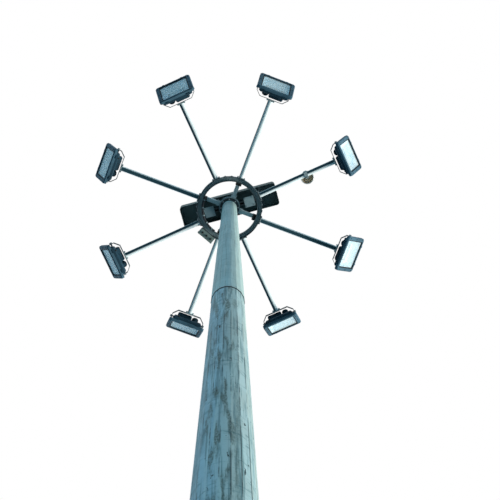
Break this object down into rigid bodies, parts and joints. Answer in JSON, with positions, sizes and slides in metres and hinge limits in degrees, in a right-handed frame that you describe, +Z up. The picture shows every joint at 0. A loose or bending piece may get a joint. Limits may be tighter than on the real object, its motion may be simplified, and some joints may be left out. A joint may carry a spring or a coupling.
{
  "type": "high mast floodlight tower",
  "caption": "Tapered many-sided steel mast with a round lamp carriage that a winch lowers, carrying tilting floodlights on radial arms below a rope hood.",
  "frame": {"origin": "centre of the underside of the base flange, where the mast stands on its foundation", "axes": "+Z up the mast, +X along arm 1, which carries the small spot lamp"},
  "size_m": [4.297, 4.3141, 19.95],
  "materials": {
    "galvanised": "hot-dip galvanised steel, weathered, with dark scuffs and run marks",
    "head_steel": "light galvanised steel",
    "dark_steel": "dark painted steel",
    "ring_steel": "grey painted steel, dull",
    "guide_rubber": "black rubber",
    "sheave_iron": "cast iron, greased grooves",
    "bright_steel": "turned steel",
    "wire_rope": "laid wire rope, greased",
    "hood_paint": "dark grey paint, matt inside",
    "box_paint": "grey-green enamel",
    "cable_sheath": "black rubber sheath",
    "spot_enamel": "pale enamel outside",
    "clear_glass": "clear glass",
    "lamp_body": "die-cast aluminium, dark blue-grey powder coat",
    "lamp_frame": "die-cast aluminium, dark blue-grey powder coat",
    "lamp_glass": "toughened glass, slightly dusty"
  },
  "bodies": {
    "mast": {"base_flange": "galvanised", "base_gussets": "galvanised", "lower_section": "galvanised", "upper_section": "galvanised", "door_frame": "galvanised", "base_door": "galvanised", "mast_collar": "dark_steel", "head_hub": "head_steel", "head_spokes": "head_steel", "docking_guides": "guide_rubber", "beam_cheeks": "dark_steel", "rope_sheaves": "sheave_iron", "sheave_pins": "bright_steel", "rope_guards": "head_steel", "hood_bars": "dark_steel", "head_ropes": "wire_rope", "hood": "hood_paint"},
    "carriage": {"carriage_ring": "ring_steel", "rope_anchors": "dark_steel", "hoist_ropes": "wire_rope", "arm_tubes": "galvanised", "arm_shoes": "galvanised", "stirrups": "galvanised", "junction_box": "box_paint", "junction_box_lid": "box_paint", "ring_cable": "cable_sheath", "spot_clamp": "galvanised", "spot_housing": "spot_enamel", "spot_glass": "clear_glass"},
    "floodlight_1": {"lamp_1_housing": "lamp_body", "lamp_1_frame": "lamp_frame", "lamp_1_glass": "lamp_glass"},
    "floodlight_2": {"lamp_2_housing": "lamp_body", "lamp_2_frame": "lamp_frame", "lamp_2_glass": "lamp_glass"},
    "floodlight_3": {"lamp_3_housing": "lamp_body", "lamp_3_frame": "lamp_frame", "lamp_3_glass": "lamp_glass"},
    "floodlight_4": {"lamp_4_housing": "lamp_body", "lamp_4_frame": "lamp_frame", "lamp_4_glass": "lamp_glass"},
    "floodlight_5": {"lamp_5_housing": "lamp_body", "lamp_5_frame": "lamp_frame", "lamp_5_glass": "lamp_glass"},
    "floodlight_6": {"lamp_6_housing": "lamp_body", "lamp_6_frame": "lamp_frame", "lamp_6_glass": "lamp_glass"},
    "floodlight_7": {"lamp_7_housing": "lamp_body", "lamp_7_frame": "lamp_frame", "lamp_7_glass": "lamp_glass"},
    "floodlight_8": {"lamp_8_housing": "lamp_body", "lamp_8_frame": "lamp_frame", "lamp_8_glass": "lamp_glass"}
  },
  "joints": [
    {"name": "carriage_lift", "type": "slide", "parent": "mast", "child": "carriage", "axis": [0, 0, 1], "range_m": [-17.6, 0], "deforming": ["hoist_ropes"]},
    {"name": "lamp_1_tilt", "type": "hinge", "parent": "carriage", "child": "floodlight_1", "pos_m": [1.926, 0, 19.4], "axis": [0, -1, 0], "range_deg": [-10, 30]},
    {"name": "lamp_2_tilt", "type": "hinge", "parent": "carriage", "child": "floodlight_2", "pos_m": [1.36189, 1.36189, 19.4], "axis": [0.7071, -0.7071, 0], "range_deg": [-10, 30]},
    {"name": "lamp_3_tilt", "type": "hinge", "parent": "carriage", "child": "floodlight_3", "pos_m": [0, 1.926, 19.4], "axis": [1, 0, 0], "range_deg": [-10, 30]},
    {"name": "lamp_4_tilt", "type": "hinge", "parent": "carriage", "child": "floodlight_4", "pos_m": [-1.36189, 1.36189, 19.4], "axis": [0.7071, 0.7071, 0], "range_deg": [-10, 30]},
    {"name": "lamp_5_tilt", "type": "hinge", "parent": "carriage", "child": "floodlight_5", "pos_m": [-1.926, 0, 19.4], "axis": [0, 1, 0], "range_deg": [-10, 30]},
    {"name": "lamp_6_tilt", "type": "hinge", "parent": "carriage", "child": "floodlight_6", "pos_m": [-1.36189, -1.36189, 19.4], "axis": [-0.7071, 0.7071, 0], "range_deg": [-10, 30]},
    {"name": "lamp_7_tilt", "type": "hinge", "parent": "carriage", "child": "floodlight_7", "pos_m": [0, -1.926, 19.4], "axis": [-1, 0, 0], "range_deg": [-10, 30]},
    {"name": "lamp_8_tilt", "type": "hinge", "parent": "carriage", "child": "floodlight_8", "pos_m": [1.36189, -1.36189, 19.4], "axis": [-0.7071, -0.7071, 0], "range_deg": [-10, 30]}
  ]
}
